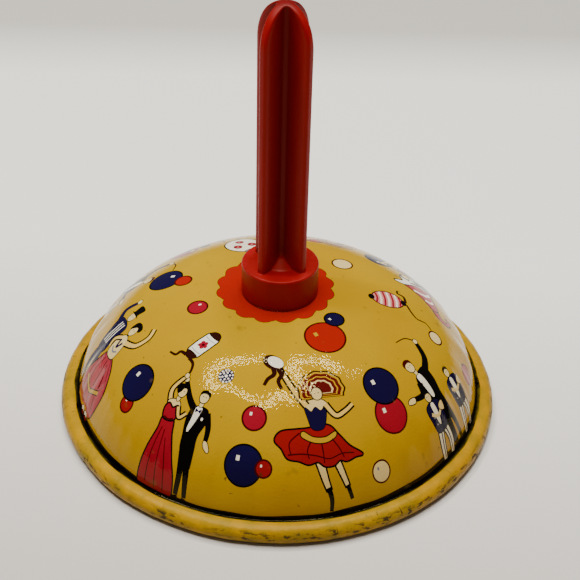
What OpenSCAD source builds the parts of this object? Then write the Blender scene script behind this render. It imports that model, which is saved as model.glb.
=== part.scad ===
// Tin litho party bell: a drawn tin dome with a curled rim, a moulded grip on its crown,
// and a wooden clapper that swings under it. It stands on its rim, with +Z up through the grip.
// The origin is on the ground under the centre of the dome. All sizes are in millimetres.

/* [Bell] */
// Outside diameter over the curled rim
rim_d = 129; // [120:1:145]
// Height of the crown above the ground
bell_h = 36.4; // [35.6:0.2:42]
// Thickness of the tin plate
sheet_t = 0.4; // [0.3:0.05:0.5]
// Outside diameter of the curled bead
bead_d = 5.5; // [4.5:0.1:6.5]
// Flatness of the crown: higher is flatter on top
crown_power = 3.035; // [2.6:0.05:3.4]
// Steepness of the side wall: lower is more conical
wall_power = 1.72; // [1.6:0.02:2]

/* [Handle] */
// Diameter of the collar at the foot of the grip
collar_d = 21.8; // [20:0.2:26]
// Height of the collar
collar_h = 9.9; // [9:0.1:14]
// Height of the whole handle above its seat
handle_h = 85.8; // [60:0.2:110]
// Radius over the tips of the four ribs
rib_r = 8.7; // [8:0.1:9.8]
// Thickness of each rib
rib_t = 2.5; // [2:0.1:3]
// Turn of the ribs about the vertical axis, in degrees
rib_turn = 50; // [0:1:90]

/* [Clapper] */
// Distance of the hinge pin below the crown
pin_drop = 6.8; // [6.6:0.1:7.2]
// Diameter of the hinge pin
pin_d = 2.4; // [2:0.1:2.6]
// Diameter of the wooden ball
ball_d = 13; // [10:0.5:13]
// Length from the hinge pin to the ball's centre
clapper_l = 19.3; // [16:0.1:19.5]

/* [Hidden] */
$fn = 96;

// Colours of the pieces
yellow = [0.93, 0.72, 0.05];
red = [0.62, 0.06, 0.05];
steel = [0.72, 0.73, 0.75];
zinc = [0.62, 0.64, 0.66];
wood = [0.76, 0.58, 0.36];

// Bead: the sheet's edge curled into a circle, whose foot is pressed flat where the bell stands
bead_r = bead_d / 2;
foot_press = 0.1;
bead_x = rim_d / 2 - bead_r;
bead_z = bead_r - foot_press;
bead_start = 130;
bead_turn = 330;
bead_steps = 44;

// Valley: the tight bend where the wall turns up into the bead
valley_r = 0.35;
valley_steps = 7;
valley_x = bead_x + (bead_r + valley_r) * cos(bead_start);
valley_z = bead_z + (bead_r + valley_r) * sin(bead_start);

// Dome: a superellipse that ends in the valley and is pressed flat under the collar
base_z = 1.3;
rise = bell_h - base_z;
dome_r = (valley_x - valley_r)
    / pow(1 - pow((valley_z - base_z) / rise, wall_power), 1 / crown_power);
seat_r = collar_d / 2 + 0.3;
seat_z = base_z + rise * pow(1 - pow(seat_r / dome_r, crown_power), 1 / wall_power);
dome_from = asin(pow(seat_r / dome_r, crown_power / 2));
dome_to = acos(pow((valley_z - base_z) / rise, wall_power / 2));
dome_steps = 30;
shell_hole_r = 1.8;

// Handle
collar_edge = 0.6;
flute_r = 1.2;
tip_h = 11;
root_h = 3.2;
root_r = 5.4;
root_top_r = 2;
cavity_r = collar_d / 2 - 1.8;
cavity_h = collar_h - 2;
boss_r = 3.8;
web_t = 1.2;
pilot_r = 1.2;
pilot_h = 13;
arc_steps = 12;

// Stack under the crown: bracket web, washer and screw head
strap_t = 0.8;
strap_w = 8;
under_z = seat_z - sheet_t;
washer_t = 0.6;
washer_r = 3.4;
fixing_hole_r = 1.75;
washer_top = under_z - strap_t;
head_top = washer_top - washer_t;
head_h = 1.8;
head_r = 2.8;
slot_w = 0.8;
slot_h = 1;

// Screw shank and its ridges
core_r = 1.15;
crest_r = 1.45;
pitch = 1.3;
ridges = 8;
tip_length = 1.6;

// Bracket
ear_gap = 8.4;
ear_out = ear_gap / 2 + strap_t;
bend_r = 1.5;
pin_z = seat_z - pin_drop;
pin_r = pin_d / 2;

// Pin heads
pin_head_r = 2.1;
pin_head_t = 0.8;
peen_r = 1.8;
peen_t = 0.6;

// Clapper
ball_r = ball_d / 2;
ball_z = pin_z - clapper_l;
bore_flat_r = 2.2;
ball_half = sqrt(ball_r * ball_r - bore_flat_r * bore_flat_r);
tang_r = 1.2;
bore_gap = 0.05;
running_gap = 0.08;
side_gap = 0.3;
knuckle_r = 2.3;
knuckle_l = ear_gap - 2 * side_gap;
strip_t = 1;
strip_top_w = 6.8;
strip_foot_w = 3.6;
clench_r = 2.1;
clench_h = 1;

function arc(cx, cy, r, from, to, steps) =
    [for (i = [0:steps]) let (a = from + (to - from) * i / steps)
        [cx + r * cos(a), cy + r * sin(a)]];

function backwards(list) = [for (i = [len(list) - 1:-1:0]) list[i]];

function unit(v) = v / norm(v);

// Normal of a path's side number i, on the left of the path's direction
function side_normal(path, i) = let (d = unit(path[i + 1] - path[i])) [-d[1], d[0]];

// The path moved by d to its right, with mitred corners
function moved(path, d) = [for (i = [0:len(path) - 1])
    let (a = side_normal(path, max(i - 1, 0)),
         b = side_normal(path, min(i, len(path) - 2)))
    path[i] - (a + b) * d / (1 + a * b)];

// Outer face of the sheet, from the middle hole over the dome, the valley and round the bead
dome_path = [for (i = [0:dome_steps]) let (a = dome_from + (dome_to - dome_from) * i / dome_steps)
    [dome_r * pow(sin(a), 2 / crown_power), base_z + rise * pow(cos(a), 2 / wall_power)]];
valley_path = arc(valley_x, valley_z, valley_r, 180, 180 + bead_start, valley_steps);
bead_path = [for (p = arc(bead_x, bead_z, bead_r, bead_start, bead_start - bead_turn, bead_steps))
    [p[0], max(p[1], 0)]];
sheet_path = concat([[shell_hole_r, seat_z]], dome_path,
    [for (i = [1:valley_steps]) valley_path[i]], [for (i = [1:bead_steps]) bead_path[i]]);

module bell_shell() {
    color(yellow)
        rotate_extrude()
            polygon(concat(sheet_path, backwards(moved(sheet_path, sheet_t))));
}

// One channel between two ribs, with rounded root
module flute() {
    a = rib_t / 2;
    far = rib_r + 1;
    polygon(concat(arc(a + flute_r, a + flute_r, flute_r, 270, 180, arc_steps),
        [[a, far], [far, far], [far, a]]));
}

module grip() {
    shoulder = handle_h - tip_h;
    tip = [for (i = [0:arc_steps]) let (a = 90 * i / arc_steps)
        [rib_r * cos(a), shoulder + tip_h * sin(a)]];
    intersection() {
        rotate(rib_turn)
            linear_extrude(handle_h + 1)
                difference() {
                    square(2 * rib_r + 1, center = true);
                    for (k = [0:3])
                        rotate(90 * k)
                            flute();
                }
        rotate_extrude()
            polygon(concat([[0, collar_h - 1], [rib_r, collar_h - 1]], tip));
    }
}

module collar() {
    rotate_extrude()
        polygon(concat([[0, 0], [collar_d / 2, 0]],
            arc(collar_d / 2 - collar_edge, collar_h - collar_edge, collar_edge, 0, 90, 6),
            [[0, collar_h]]));
}

// Hollow in the collar's underside, with four webs that tie the boss to the wall
module cavity() {
    difference() {
        translate([0, 0, -1])
            cylinder(r = cavity_r, h = cavity_h + 1);
        translate([0, 0, -2])
            cylinder(r = boss_r, h = cavity_h + 3);
        for (k = [0:3])
            rotate(rib_turn + 90 * k)
                translate([0, -web_t / 2, -2])
                    cube([cavity_r + 1, web_t, cavity_h + 3]);
    }
}

module handle() {
    color(red)
        translate([0, 0, seat_z])
            difference() {
                union() {
                    collar();
                    grip();
                    translate([0, 0, collar_h])
                        cylinder(r1 = root_r, r2 = root_top_r, h = root_h);
                }
                cavity();
                translate([0, 0, -1])
                    cylinder(r = pilot_r, h = pilot_h + 1);
            }
}

// Pan-head screw, point up, with a ridge for each turn of its thread
module handle_screw() {
    thread_z = seat_z + 0.4;
    head_side = 0.9;
    color(zinc)
        difference() {
            rotate_extrude()
                polygon(concat(
                    [[0, head_top - head_h]],
                    [for (a = [0:15:90]) [1.7 + (head_r - 1.7) * sin(a),
                        head_top - head_side - (head_h - head_side) * cos(a)]],
                    [[head_r, head_top], [core_r, head_top]],
                    [for (i = [0:ridges - 1], step = [0:2]) let (z = thread_z + i * pitch)
                        [step == 1 ? crest_r : core_r, z + step * pitch * 0.4]],
                    [[0, thread_z + ridges * pitch + tip_length]]));
            translate([-head_r - 1, -slot_w / 2, head_top - head_h - 1])
                cube([2 * head_r + 2, slot_w, slot_h + 1]);
        }
}

module screw_washer() {
    color(zinc)
        translate([0, 0, head_top])
            difference() {
                cylinder(r = washer_r, h = washer_t);
                translate([0, 0, -1])
                    cylinder(r = fixing_hole_r, h = washer_t + 2);
            }
}

// A cylinder lying along Y, centred on the hinge axis
module along_y(r, l) {
    translate([0, 0, pin_z])
        rotate([90, 0, 0])
            cylinder(r = r, h = l, center = true);
}

// U-shaped strap: its web is screwed under the crown, and its two ears hold the pin
module clapper_bracket() {
    foot_z = pin_z - strap_w / 2 - 1;
    inner_bend = bend_r - strap_t;
    outer = concat([[-ear_out, foot_z]],
        arc(-ear_out + bend_r, under_z - bend_r, bend_r, 180, 90, 6),
        arc(ear_out - bend_r, under_z - bend_r, bend_r, 90, 0, 6), [[ear_out, foot_z]]);
    inner = concat([[ear_gap / 2, foot_z]],
        arc(ear_out - bend_r, under_z - bend_r, inner_bend, 0, 90, 6),
        arc(-ear_out + bend_r, under_z - bend_r, inner_bend, 90, 180, 6), [[-ear_gap / 2, foot_z]]);
    color(steel)
        difference() {
            intersection() {
                rotate([90, 0, 90])
                    linear_extrude(strap_w, center = true)
                        polygon(concat(outer, inner));
                union() {
                    along_y(strap_w / 2, 4 * ear_out);
                    translate([-strap_w, -2 * ear_out, pin_z])
                        cube([2 * strap_w, 4 * ear_out, bell_h]);
                }
            }
            along_y(pin_r, 4 * ear_out);
            translate([0, 0, under_z - 2 * strap_t])
                cylinder(r = fixing_hole_r, h = 3 * strap_t);
        }
}

// Rivet pin: a plain shank with a flat head at the front and a peened end at the back
module clapper_pin() {
    color(steel)
        union() {
            along_y(pin_r, 2 * ear_out);
            translate([0, -ear_out - pin_head_t / 2, 0])
                along_y(pin_head_r, pin_head_t);
            translate([0, ear_out + peen_t / 2, 0])
                along_y(peen_r, peen_t);
        }
}

// Strip rolled into a knuckle round the pin, with a tang that is clenched under the ball
module clapper_arm() {
    strip_top = pin_z - knuckle_r + 0.4;
    strip_foot = ball_z + ball_half;
    color(steel)
        difference() {
            union() {
                along_y(knuckle_r, knuckle_l);
                rotate([90, 0, 90])
                    linear_extrude(strip_t, center = true)
                        polygon([[-strip_top_w / 2, strip_top], [-strip_foot_w / 2, strip_foot],
                            [strip_foot_w / 2, strip_foot], [strip_top_w / 2, strip_top]]);
                translate([0, 0, ball_z - ball_half - clench_h / 2])
                    cylinder(r = tang_r, h = 2 * ball_half + clench_h / 2 + 1);
                translate([0, 0, ball_z - ball_half])
                    rotate_extrude()
                        polygon(concat([[0, 0], [clench_r, 0]],
                            [for (a = [15:15:90]) [clench_r * cos(a), -clench_h * sin(a)]]));
            }
            along_y(pin_r + running_gap, 2 * knuckle_l);
        }
}

module clapper_ball() {
    color(wood)
        translate([0, 0, ball_z])
            difference() {
                intersection() {
                    sphere(r = ball_r);
                    cylinder(r = ball_d, h = 2 * ball_half, center = true);
                }
                cylinder(r = tang_r + bore_gap, h = ball_d + 2, center = true);
            }
}

bell_shell();
handle();
handle_screw();
screw_washer();
clapper_bracket();
clapper_pin();
clapper_arm();
clapper_ball();
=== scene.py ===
"""Looks of a tin litho party bell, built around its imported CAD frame.

The bell's printed skin is drawn the way the real one is made: the art is laid out on a flat round
blank, in millimetres, and the blank is then drawn into the dome. Every ink is a set of faces of the
one sheet, so nothing is stuck on. The grip is lofted from its rounded cross-section, and the
clapper's metal and wood keep their CAD shapes, with softened edges.
"""

import math

import bpy
import numpy as np
from mathutils import Matrix, Vector, geometry, noise


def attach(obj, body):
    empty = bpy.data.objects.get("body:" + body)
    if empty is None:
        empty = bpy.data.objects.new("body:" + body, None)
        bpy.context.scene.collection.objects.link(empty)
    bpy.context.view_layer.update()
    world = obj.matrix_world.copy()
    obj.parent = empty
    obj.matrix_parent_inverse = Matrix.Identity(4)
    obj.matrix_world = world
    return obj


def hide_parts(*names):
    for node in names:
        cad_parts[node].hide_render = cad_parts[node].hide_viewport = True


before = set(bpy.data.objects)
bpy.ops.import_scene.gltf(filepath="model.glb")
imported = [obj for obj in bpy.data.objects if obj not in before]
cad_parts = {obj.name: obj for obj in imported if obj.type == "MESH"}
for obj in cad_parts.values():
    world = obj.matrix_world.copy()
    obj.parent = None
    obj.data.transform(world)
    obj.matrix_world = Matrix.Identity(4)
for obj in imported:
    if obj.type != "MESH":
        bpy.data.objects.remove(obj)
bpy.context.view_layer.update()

MM = 0.001


# ---------- the sheet's profile, in millimetres

RIM_R = 64.5  # over the curled rim
BELL_H = 36.4  # height of the crown, before it is pressed flat under the collar
SHEET_T = 0.4
BEAD_R = 2.75
FOOT_PRESS = 0.1  # how far the bead's foot is pressed flat
BEAD_X = RIM_R - BEAD_R
BEAD_Z = BEAD_R - FOOT_PRESS
BEAD_START = 130.0  # where the sheet meets the bead, in degrees about the bead's centre
BEAD_TURN = 330.0
BEAD_STEPS = 44
VALLEY_R = 0.35
VALLEY_STEPS = 7
VALLEY_X = BEAD_X + (BEAD_R + VALLEY_R) * math.cos(math.radians(BEAD_START))
VALLEY_Z = BEAD_Z + (BEAD_R + VALLEY_R) * math.sin(math.radians(BEAD_START))
CROWN_POWER = 3.035
WALL_POWER = 1.72
BASE_Z = 1.3
RISE = BELL_H - BASE_Z
WALL_END_R = VALLEY_X - VALLEY_R
DOME_R = WALL_END_R / (1 - ((VALLEY_Z - BASE_Z) / RISE) ** WALL_POWER) ** (1 / CROWN_POWER)
COLLAR_R = 10.9
SEAT_R = COLLAR_R + 0.3
HOLE_R = 1.8
SHELL_SEGMENTS = 360
DOME_STEPS = 40  # along the dome's inner face


def dome_height(r):
    """Height of the sheet's outer face at radius r, flat under the collar."""
    r = np.maximum(np.asarray(r, float), SEAT_R)
    return BASE_Z + RISE * np.maximum(1 - (r / DOME_R) ** CROWN_POWER, 0) ** (1 / WALL_POWER)


SEAT_Z = float(dome_height(SEAT_R))

# Distance along the sheet from the bell's axis, against radius
RADII = np.linspace(0, WALL_END_R, 8000)
HEIGHTS = dome_height(RADII)
ALONG = np.concatenate([[0], np.cumsum(np.hypot(np.diff(RADII), np.diff(HEIGHTS)))])
BLANK_R = float(ALONG[-1])

PUCKER_FROM = 50.0  # the wall's drawing puckers start here on the blank
PUCKER_DEPTH = 0.50
DENT_DEPTH = 0.10


def pucker(x, y):
    """Depth of the wall's puckers and dents at a point of the blank, zero at the bead and the crown."""
    s = math.hypot(x, y)
    share = (s - PUCKER_FROM) / (BLANK_R - PUCKER_FROM)
    low = math.sin(math.pi * min(max(share, 0), 1)) ** 2
    wide = math.sin(math.pi * min(max((s - 18) / (BLANK_R - 18), 0), 1)) ** 2
    turn = Vector((x, y, 0)).normalized()
    ripple = noise.noise(turn * 9.0) + 0.5 * noise.noise(turn * 21.0)
    dent = noise.noise(Vector((x, y, 0)) * 0.045)
    return PUCKER_DEPTH * low * ripple + DENT_DEPTH * wide * dent


BEAD_WOBBLE = 0.32  # the curled rim wanders in and out this much


def rim_wobble(verts):
    """Moves the points near the bead in and out, as a hand-fed curling roller leaves them."""
    r = np.hypot(verts[:, 0], verts[:, 1])
    share = np.clip((r - WALL_END_R) / (BEAD_X - WALL_END_R), 0, 1)[:, None]
    moved = verts.copy()
    for k, (x, y) in enumerate(verts[:, :2]):
        if share[k, 0] > 0:
            turn = Vector((x, y, 0)).normalized()
            wander = 0.75 * noise.noise(turn * 3.1) + 0.35 * noise.noise(turn * 13.0)
            wander += 0.16 * noise.noise(turn * 42.0)
            moved[k, :2] *= 1 + BEAD_WOBBLE * wander * share[k, 0] / r[k]
    return moved


def on_dome(points):
    """Points of the flat blank, drawn onto the dome's outer face, without its puckers."""
    s = np.hypot(points[:, 0], points[:, 1])
    r = np.interp(s, ALONG, RADII)
    z = np.interp(s, ALONG, HEIGHTS)
    share = r / np.maximum(s, 1e-9)
    return np.stack([points[:, 0] * share, points[:, 1] * share, z], 1)


def dome_normals(points):
    """The dome's outward normals at points of the blank."""
    step = 0.05
    s = np.hypot(points[:, 0], points[:, 1])
    turn = points / np.maximum(s, 1e-9)[:, None]
    a, b = np.maximum(s - step, 0), np.minimum(s + step, BLANK_R)
    dr = np.interp(b, ALONG, RADII) - np.interp(a, ALONG, RADII)
    dz = np.interp(b, ALONG, HEIGHTS) - np.interp(a, ALONG, HEIGHTS)
    n = np.stack([-dz * turn[:, 0], -dz * turn[:, 1], dr], 1)
    return n / np.linalg.norm(n, axis=1)[:, None]


def drawn(points):
    """Points of the blank on the finished dome, puckers included."""
    depth = np.array([pucker(x, y) for x, y in points])
    return on_dome(points) + dome_normals(points) * depth[:, None]


# ---------- inks

INKS = {
    "yellow": (0.40, 0.236, 0.0001),
    "orange": (0.30, 0.0080, 0.0030),
    "crimson": (0.25, 0.0055, 0.0180),
    "pink": (0.31, 0.031, 0.050),
    "pale pink": (0.56, 0.20, 0.20),
    "red": (0.24, 0.0050, 0.0045),
    "dark red": (0.040, 0.0012, 0.0020),
    "navy": (0.0050, 0.0025, 0.036),
    "black": (0.0016, 0.0011, 0.0016),
    "maroon": (0.085, 0.0040, 0.0050),
    "brown": (0.020, 0.0035, 0.0025),
    "white": (0.74, 0.71, 0.62),
    "cream": (0.62, 0.49, 0.22),
    "skin": (0.62, 0.42, 0.10),
    "gold": (0.42, 0.25, 0.010),
    "grey": (0.16, 0.16, 0.21),
}

art = []  # (ink, outline on the blank) in the order of printing


# ---------- drawing on the blank

def smooth(points, closed=True, step=0.5):
    """A Catmull-Rom curve through the points, sampled about every step."""
    p = np.array(points, float)
    count = len(p)
    found = []
    for i in range(count if closed else count - 1):
        if closed:
            a, b, c, d = (p[(i + k) % count] for k in (-1, 0, 1, 2))
        else:
            a, b, c, d = (p[min(max(i + k, 0), count - 1)] for k in (-1, 0, 1, 2))
        pieces = max(1, math.ceil(np.linalg.norm(c - b) / step))
        for k in range(pieces):
            t = k / pieces
            found.append(0.5 * (2 * b + (c - a) * t + (2 * a - 5 * b + 4 * c - d) * t * t
                                + (3 * b - a - 3 * c + d) * t ** 3))
    if not closed:
        found.append(p[-1])
    return np.array(found)


def ellipse(x, y, rx, ry=None, tilt=0.0, step=0.5):
    ry = rx if ry is None else ry
    count = max(12, int(2 * math.pi * max(rx, ry) / step))
    a = np.arange(count) * 2 * math.pi / count
    c, s = math.cos(math.radians(tilt)), math.sin(math.radians(tilt))
    u, v = rx * np.cos(a), ry * np.sin(a)
    return np.stack([x + u * c - v * s, y + u * s + v * c], 1)


def grown(outline, amount):
    """The outline moved outward by amount."""
    ahead = np.roll(outline, -1, 0) - np.roll(outline, 1, 0)
    n = np.stack([ahead[:, 1], -ahead[:, 0]], 1)
    n /= np.maximum(np.linalg.norm(n, axis=1), 1e-9)[:, None]
    x, y = outline[:, 0], outline[:, 1]
    area = np.sum(x * np.roll(y, -1) - np.roll(x, -1) * y)
    return outline + n * amount * (1 if area > 0 else -1)


def ribbon(points, start, end=None, step=0.5):
    """A strip along a smooth line, as wide as start at one end and end at the other."""
    end = start if end is None else end
    line = smooth(points, closed=False, step=step)
    ahead = np.gradient(line, axis=0)
    n = np.stack([-ahead[:, 1], ahead[:, 0]], 1)
    n /= np.maximum(np.linalg.norm(n, axis=1), 1e-9)[:, None]
    half = np.linspace(start / 2, end / 2, len(line))[:, None]
    return np.concatenate([line + n * half, (line - n * half)[::-1]])


def turned(points, angle):
    """Points turned about the origin."""
    c, s = math.cos(angle), math.sin(angle)
    return points @ np.array([[c, s], [-s, c]])


LINE = 0.50  # width of the black key line


class Spot:
    """A place on the blank: azimuth from the front in degrees, distance from the centre, and the tilt,
    size and hand of what is printed there. Up points to the bell's centre."""

    def __init__(self, azimuth, distance, tilt=0, size=1, flip=False):
        self.azimuth = math.radians(azimuth)
        self.distance = distance
        self.tilt = math.radians(tilt)
        self.size = size
        self.flip = flip

    def print(self, ink, outline):
        p = np.array(outline, float) * self.size
        if self.flip:
            p[:, 0] = -p[:, 0]
        p = turned(p, self.tilt) + (0, -self.distance)
        art.append((ink, turned(p, self.azimuth)))

    def fill(self, ink, outline, line=0, line_ink="black"):
        """An outline, with a key line of that width round it."""
        if line:
            self.print(line_ink, grown(outline, line))
        self.print(ink, outline)

    def shape(self, ink, points, line=LINE):
        self.fill(ink, smooth(points), line)

    def stroke(self, ink, points, start, end=None):
        self.print(ink, ribbon(points, start, end))

    def limb(self, ink, points, start, end, line=LINE):
        """An arm or a leg: a tapering strip with a key line along both sides."""
        if line:
            self.stroke("black", points, start + 2 * line, end + 2 * line)
        self.stroke(ink, points, start, end)

    def streamer(self, points, width=0.7):
        self.stroke("brown", points, width, width * 0.55)

    def shoe(self, x, y, way):
        self.shape("black", [(x - 0.8 * way, y + 0.9), (x + 0.5 * way, y + 0.8), (x + 1.9 * way, y + 0.2),
                             (x + 1.8 * way, y - 0.3), (x - 0.7 * way, y - 0.2)], 0)

    def head(self, x, y, size, hair=None, tilt=0):
        """A small plain head with the face left blank but for two marks, as on cheap litho."""
        self.fill("cream", ellipse(x, y, size * 0.82, size, tilt, step=0.35), 0.26)
        self.fill("black", ellipse(x - 0.28 * size, y + 0.12 * size, 0.1 * size, step=0.2))
        self.fill("black", ellipse(x + 0.30 * size, y + 0.12 * size, 0.1 * size, step=0.2))
        if hair:
            cap = ((-0.95, 0.1), (-0.9, 0.95), (0, 1.35), (0.9, 0.95), (0.95, 0.1), (0.45, 0.62),
                    (-0.45, 0.62))
            self.shape(hair, [(x + u * size, y + v * size) for u, v in cap], 0)


# ---------- balloons, lanterns and small motifs

def balloon(azimuth, distance, radius, ink, shine="white"):
    """Plain balloon with a small window shining in it."""
    at = Spot(azimuth, distance)
    at.fill(ink, ellipse(0, 0, radius), LINE, "black" if ink == "navy" else "dark red")
    if shine:
        size = 0.10 * radius + 0.12
        corner = ((-0.9, -1), (0.7, -1.1), (0.9, 1), (-0.7, 1.1))
        at.fill(shine, [(-0.34 * radius + size * u, 0.36 * radius + size * v) for u, v in corner])


def barrel_lantern(azimuth, distance, tilt):
    """White paper lantern with dark caps, a flower and two ribbon tails."""
    at = Spot(azimuth, distance, tilt)
    at.shape("white", [(-1.7, 4), (-2.2, 1.5), (-2.2, -1.5), (-1.7, -4), (1.7, -4), (2.2, -1.5),
            (2.2, 1.5), (1.7, 4)], 0.42)
    for side in (1, -1):
        cap = ((-1.75, 3.7), (-1.3, 5), (0, 5.5), (1.3, 5), (1.75, 3.7))
        at.shape("brown", [(u, side * v) for u, v in cap], 0.2)
    for height in (-2.6, 2.5):
        at.stroke("grey", [(-1.9, height), (0, height - 0.25), (1.9, height)], 0.2)
    for k in range(5):
        a = math.radians(72 * k)
        at.fill("crimson", ellipse(0.85 * math.cos(a), 0.85 * math.sin(a), 0.62, step=0.3))
    at.fill("dark red", ellipse(0, 0, 0.42, step=0.3))
    at.streamer([(0.6, -5.4), (3, -5.8), (4.6, -8), (4.8, -10.6)], 1)
    at.streamer([(-0.9, -5.2), (-3, -5.6), (-3.4, -7.2), (-5.6, -7.6)], 1.1)


def striped_lantern(azimuth, distance, tilt):
    """Round folded lantern with pink bands, a dark cap at each end and two thin tails."""
    at = Spot(azimuth, distance, tilt)
    at.fill("pale pink", ellipse(0, 0, 3.5, 4.7), 0.42, "dark red")
    for k in range(-3, 4):
        height = 1.2 * k
        half = 3.4 * math.sqrt(1 - (height / 4.75) ** 2)
        at.stroke("crimson" if k % 2 else "white", [(-half, height), (0, height - 0.35), (half, height)],
                0.62)
    for side in (1, -1):
        at.fill("black", ellipse(0, side * 5, 1.3, 0.95))
    at.streamer([(-0.4, -5.9), (-3.4, -7), (-5.6, -8.6), (-6, -11.6), (-8, -13.2)], 0.7)
    at.streamer([(0.6, -5.8), (3.4, -5.6), (4.4, -3.8), (6, -4)], 1)


def round_lantern(azimuth, distance, tilt):
    """Round white lantern with a dark cap and three pink discs."""
    at = Spot(azimuth, distance, tilt)
    at.fill("white", ellipse(0, 0, 5.2, 5.8), 0.45)
    for u, v in ((-2.2, 1.8), (2.3, 0.9), (-0.5, -2.7)):
        at.fill("crimson", ellipse(u, v, 1.05, 1.3), 0.25, "dark red")
        at.fill("pale pink", ellipse(u, v, 0.4, step=0.3))
    at.shape("grey", [(-2.2, 5.2), (-1.7, 6.6), (1.7, 6.6), (2.2, 5.2), (0, 4.8)], 0.25)
    at.streamer([(0.4, -6), (2.2, -7.4), (1.4, -9.5), (3, -11.6)])
    at.streamer([(-0.8, -6), (-2.8, -6.6), (-3.2, -8.6)])


def confetti_ball(azimuth, distance, radius):
    """Speckled ball: a dark disc with rings of pale dots."""
    at = Spot(azimuth, distance)
    at.fill("navy", ellipse(0, 0, radius))
    at.fill("white", ellipse(0, 0, 0.2 * radius, step=0.25))
    for ring, count in ((0.46, 6), (0.82, 12)):
        for k in range(count):
            a = 2 * math.pi * (k + ring) / count
            at.fill("white", ellipse(ring * radius * math.cos(a), ring * radius * math.sin(a),
                    0.13 * radius, step=0.25))


def party_horn(azimuth, distance, tilt, flip=False):
    """Pink paper horn of plenty: a wide frilled mouth, a banded cone and a curled tail."""
    at = Spot(azimuth, distance, tilt, flip=flip)
    curl = [(0, -3.4), (-0.2, -7.6), (2.2, -9.8), (4.6, -8.6), (3.8, -6.6)]
    at.stroke("black", curl, 3.4, 1.7)
    at.stroke("pink", curl, 2.4, 0.8)
    at.shape("pink", [(-5.4, 7), (-4.2, 3.4), (-2.4, -0.6), (-1.3, -4.6), (1.3, -4.6), (2.6, -0.6),
            (4, 3.4), (5.6, 7)])
    at.stroke("white", [(-3.8, 3.6), (0.2, 2.2), (3.6, 3.8)], 1.2)
    at.stroke("white", [(-1.8, -0.6), (0.2, -1.5), (2, -0.5)], 0.9)
    at.shape("white", [(-6, 6.4), (-8.4, 8.4), (-5, 8.6), (-4, 11.4), (-1.8, 9.2), (0.4, 11.8),
            (2.4, 9.2), (5.2, 10.8), (5.2, 8.2), (7.8, 8), (5.8, 6.2), (0, 7.2)])
    at.fill("dark red", ellipse(0.1, 8.1, 2.6, 0.6))


def scalloped_ring():
    """Orange-red rosette round the collar, printed a little off centre."""
    scallops = 16
    lobe_r = 3.2
    lobes_at = 13.8
    half = math.asin(lobes_at * math.sin(math.pi / scallops) / lobe_r)
    points = []
    for k in range(scallops):
        a = 2 * math.pi * (k + 0.5) / scallops
        for t in np.linspace(-half, half, 9)[:-1]:
            points.append((lobes_at * math.cos(a) + lobe_r * math.cos(a + t),
                    lobes_at * math.sin(a) + lobe_r * math.sin(a + t)))
    rosette = np.array(points) + (-1.2, 1.3)
    Spot(0, 0).fill("orange", rosette, 0.16, "dark red")


# ---------- dancing figures, all of plain stock shapes

def gown_lady(at, ink):
    """Lady in a long flared gown, one arm up."""
    at.limb("skin", [(-7, 24.2), (-8, 27.8), (-6, 31.9)], 1.15, 0.7)
    at.fill("cream", ellipse(-5.7, 32.5, 0.62, 0.75, 20, step=0.3), 0.24)
    at.shape(ink, [(-7.3, 20.2), (-7.9, 16.6), (-9.8, 11.4), (-11.5, 5.8), (-12.2, 0.8), (-9.6, 0.2),
            (-8.2, -0.5), (-5.8, -0.3), (-3.8, -0.9), (-1.2, -0.5), (1.3, 0.1), (1, 5), (-1, 10.6),
            (-2.9, 16), (-4.1, 20.2)])
    for fold in ([(-6.6, 17.5), (-8.2, 10), (-9.2, 1.6)], [(-5.6, 17), (-5.7, 9), (-5.4, 0.8)],
            [(-4.6, 15), (-2.9, 8), (-1.9, 0.6)]):
        at.stroke("dark red", fold, 0.22, 0.4)
    at.shape("cream", [(-7.3, 23.2), (-7.6, 24.7), (-6, 25.4), (-4.2, 25.1), (-3.6, 23.6), (-5.4, 22.6)],
            0.26)
    at.shape(ink, [(-7.2, 20), (-7.9, 22.4), (-7.1, 23.9), (-5.6, 22.9), (-4.1, 23.8), (-3.6, 22),
            (-4.2, 20)])
    at.stroke("dark red", [(-7.2, 20.3), (-5.7, 19.8), (-4.2, 20.3)], 0.5)
    at.limb("skin", [(-4, 23.8), (-2.7, 21.2), (-0.9, 22.9)], 0.85, 0.65)
    at.fill("cream", ellipse(-5, 26, 0.55, 0.9), 0.22)
    at.head(-4.7, 27.9, 1.5)
    at.shape("black", [(-6.1, 27.2), (-6.9, 28.9), (-5.9, 30.1), (-4.3, 30.1), (-3.4, 29), (-4.6, 28.9),
            (-5.3, 27.6)], 0)


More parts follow.
